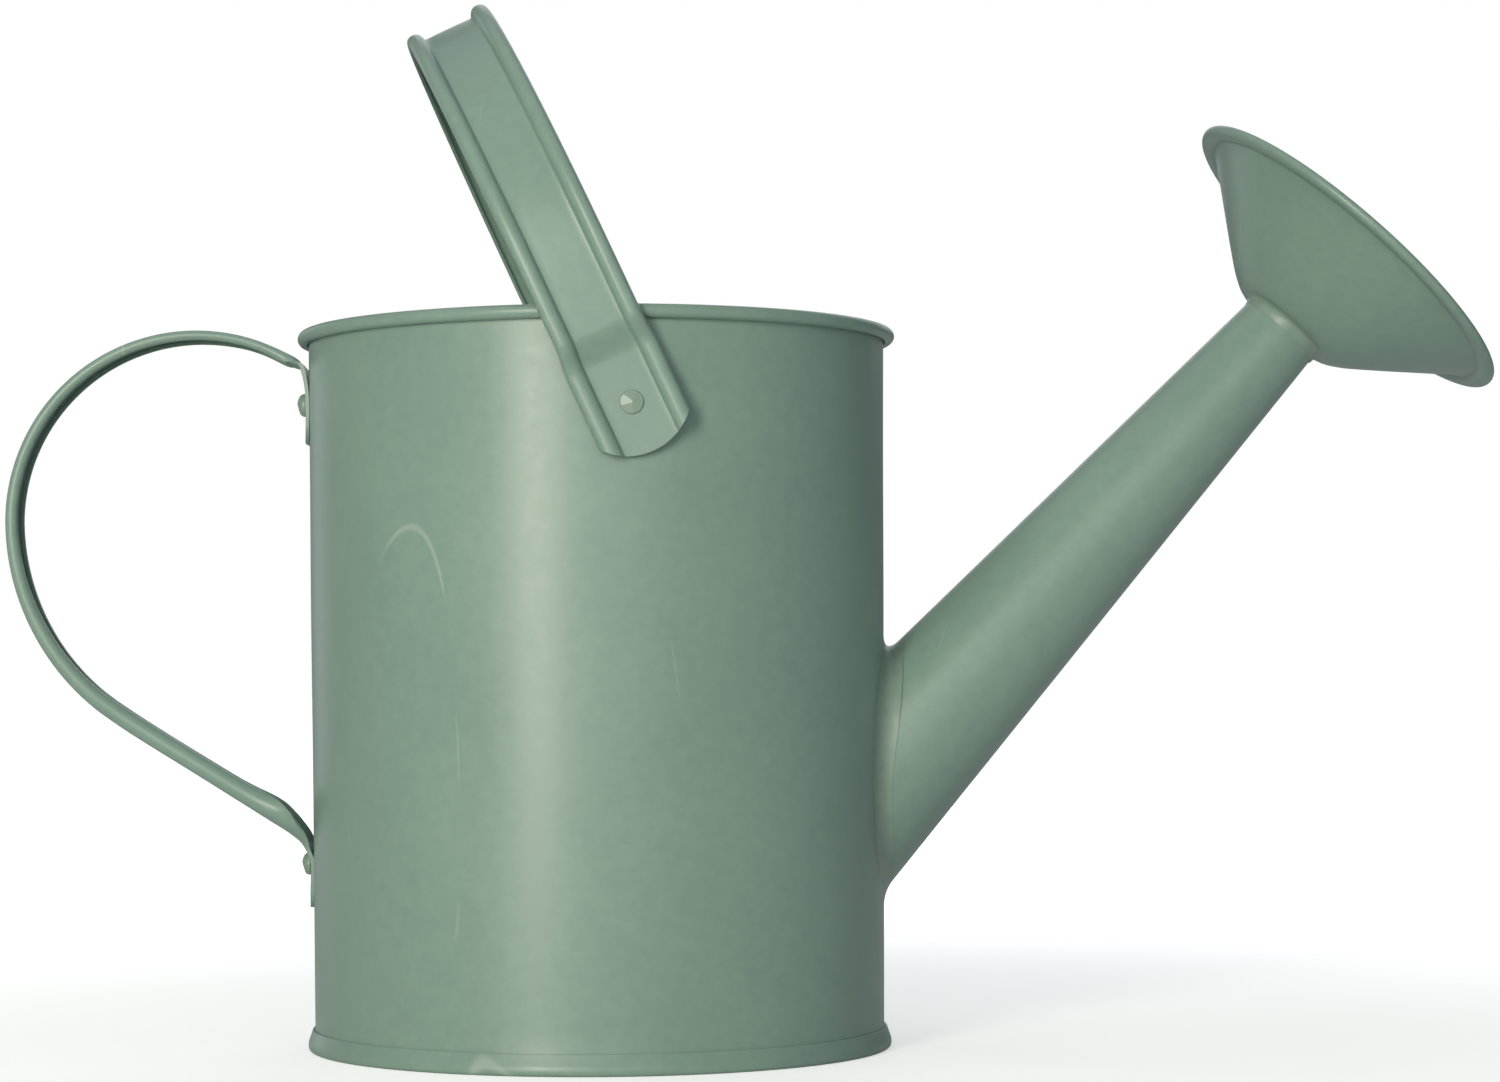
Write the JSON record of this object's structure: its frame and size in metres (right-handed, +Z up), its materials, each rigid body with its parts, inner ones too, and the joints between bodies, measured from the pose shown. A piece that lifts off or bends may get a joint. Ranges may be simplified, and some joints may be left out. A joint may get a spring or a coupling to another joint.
{
  "type": "watering can",
  "caption": "Cylindrical sheet steel watering can with a slanted spout and rose, a swinging bail over the open top, and a riveted strip handle behind.",
  "frame": {"origin": "middle of the can's bounding box, on the surface it stands on", "axes": "+Z up, +X the way the spout points, and the bail swings about an axis along Y"},
  "size_m": [0.3698, 0.1558, 0.2588],
  "materials": {
    "green_paint": "satin grey-green enamel on sheet steel",
    "rivet_paint": "satin grey-green enamel on steel rivets",
    "solder_paint": "satin grey-green enamel over solder",
    "zinc_steel": "dull zinc-plated steel"
  },
  "bodies": {
    "can": {"body_shell": "green_paint", "rim_wire": "zinc_steel", "base_pan": "green_paint", "spout_tube": "green_paint", "spout_solder": "solder_paint", "rose_back": "green_paint", "rose_face": "green_paint", "rose_solder": "solder_paint", "rear_handle": "green_paint", "handle_rivet_upper": "rivet_paint", "handle_rivet_upper_washer": "zinc_steel", "handle_rivet_lower": "rivet_paint", "handle_rivet_lower_washer": "zinc_steel", "pivot_rivet_near": "rivet_paint", "pivot_rivet_near_washer": "zinc_steel", "pivot_rivet_far": "rivet_paint", "pivot_rivet_far_washer": "zinc_steel"},
    "bail": {"bail_handle": "green_paint"}
  },
  "joints": [
    {"name": "bail_swing", "type": "hinge", "parent": "can", "child": "bail", "pos_m": [-0.02888, 0, 0.1552], "axis": [0, 1, 0], "range_deg": [-45, 114]}
  ]
}
